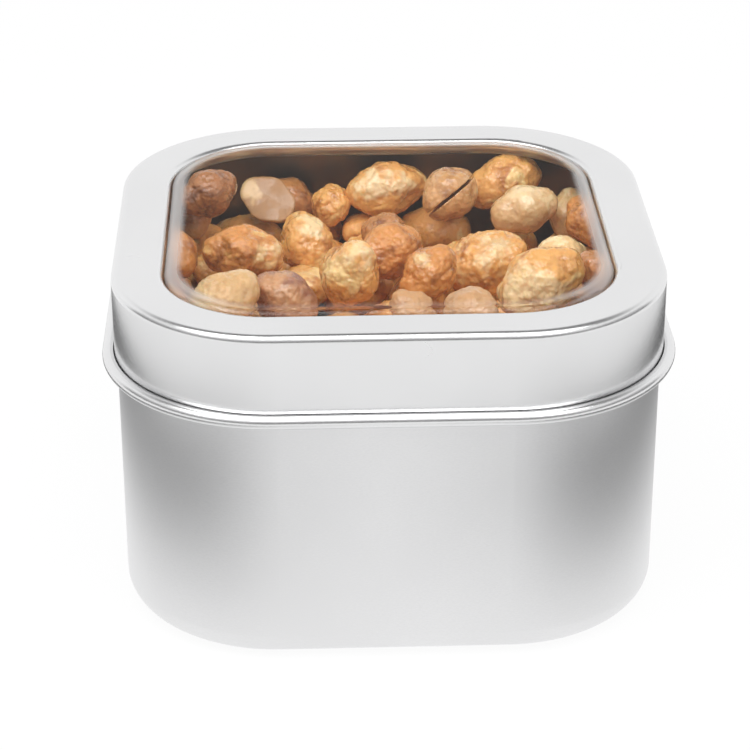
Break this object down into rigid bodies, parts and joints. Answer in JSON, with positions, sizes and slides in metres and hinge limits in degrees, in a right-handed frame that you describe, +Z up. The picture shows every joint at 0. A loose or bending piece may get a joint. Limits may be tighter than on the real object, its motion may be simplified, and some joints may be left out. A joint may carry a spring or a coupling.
{
  "type": "window lid tin",
  "caption": "Square tinplate box with large round corners, a lift-off slip lid with a rolled hem, a clear raised window in the lid, and toffee-coated nuts inside.",
  "frame": {"origin": "middle of the underside, on the surface that the tin stands on", "axes": "+Z up through the lid; X and Y square to the tin's sides, with -Y towards the viewer of the picture"},
  "size_m": [0.0762, 0.0762, 0.0477],
  "materials": {
    "tinplate": "bright tinplate with a faint satin grain and hairline scratches",
    "clear_film": "clear formed film, glossy",
    "golden_toffee": "golden crystalline toffee coat, glossy and lumpy",
    "brown_toffee": "dark brown crystalline toffee coat, glossy and lumpy",
    "cream_toffee": "pale nut with a thin broken toffee coat"
  },
  "bodies": {
    "tin": {"tin_body": "tinplate", "nuts_bottom": "golden_toffee", "nuts_lower": "golden_toffee", "nuts_middle": "golden_toffee", "nuts_upper": "golden_toffee", "nut_01": "golden_toffee", "nut_02": "brown_toffee", "nut_03": "cream_toffee", "nut_04": "golden_toffee", "nut_05": "cream_toffee", "nut_06": "brown_toffee", "nut_07": "brown_toffee", "nut_08": "cream_toffee", "nut_09": "golden_toffee", "nut_10": "cream_toffee", "nut_11": "golden_toffee", "nut_12": "cream_toffee", "nut_13": "cream_toffee", "nut_14": "golden_toffee", "nut_15": "golden_toffee", "nut_16": "brown_toffee", "nut_17": "golden_toffee", "nut_18": "brown_toffee", "nut_19": "brown_toffee", "nut_20": "golden_toffee", "nut_21": "golden_toffee", "nut_22": "cream_toffee", "nut_23": "brown_toffee", "nut_24": "golden_toffee", "nut_25": "golden_toffee", "nut_26": "golden_toffee", "nut_27": "brown_toffee", "nut_28": "cream_toffee", "nut_29": "cream_toffee", "nut_30": "cream_toffee", "nut_31": "cream_toffee", "nut_32": "brown_toffee", "nut_33": "golden_toffee", "nut_34": "brown_toffee", "nut_35": "cream_toffee", "nut_36": "golden_toffee"},
    "lid": {"lid_frame": "tinplate", "window": "clear_film"}
  },
  "joints": [
    {"name": "lid_lift", "type": "slide", "parent": "tin", "child": "lid", "axis": [0, 0, 1], "range_m": [0, 0.045]}
  ]
}
